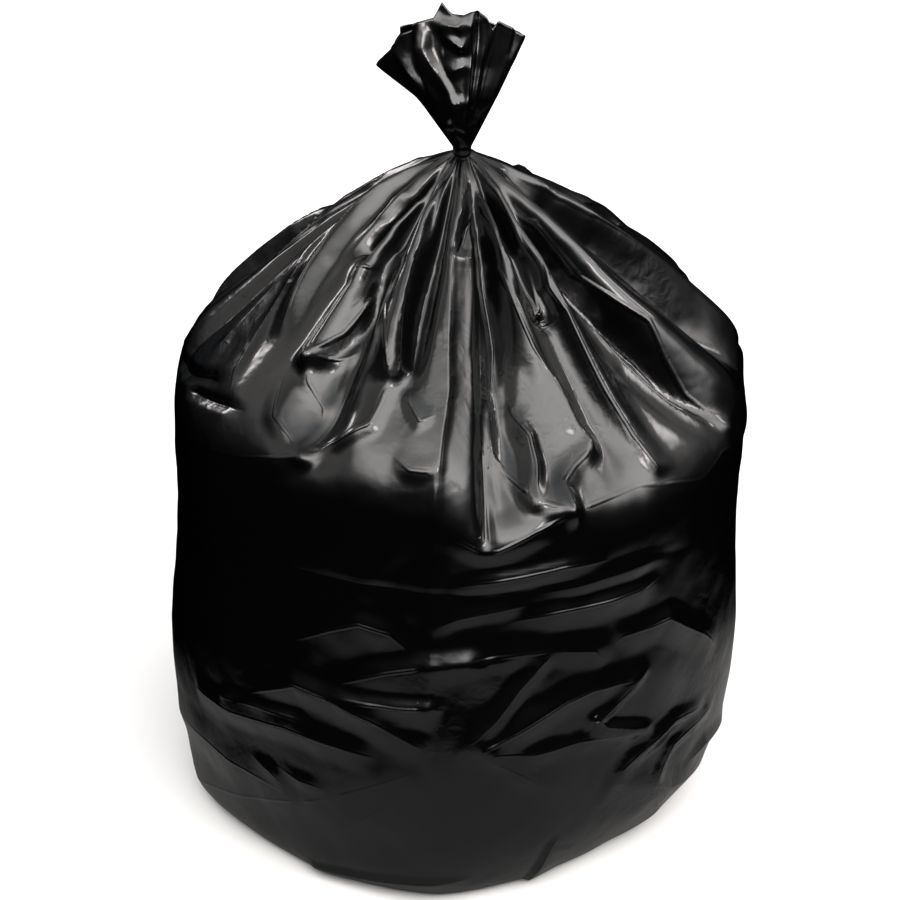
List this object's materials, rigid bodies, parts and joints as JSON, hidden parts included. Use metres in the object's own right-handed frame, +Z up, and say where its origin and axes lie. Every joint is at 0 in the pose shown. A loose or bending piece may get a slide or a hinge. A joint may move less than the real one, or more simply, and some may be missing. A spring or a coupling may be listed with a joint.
{
  "type": "filled refuse sack",
  "caption": "Full black film sack standing on a flat spot, drawn in folds into a narrow twisted neck under an open, ragged crown.",
  "frame": {"origin": "on the floor, under the middle of the sack's outline", "axes": "+Z up through the neck, -Y towards the front, +X to the right of someone who looks at the front"},
  "size_m": [0.54, 0.5406, 0.7866],
  "materials": {
    "film": "glossy black polythene film with fine creases"
  },
  "bodies": {
    "root": {"refuse_sack": "film"}
  },
  "joints": []
}
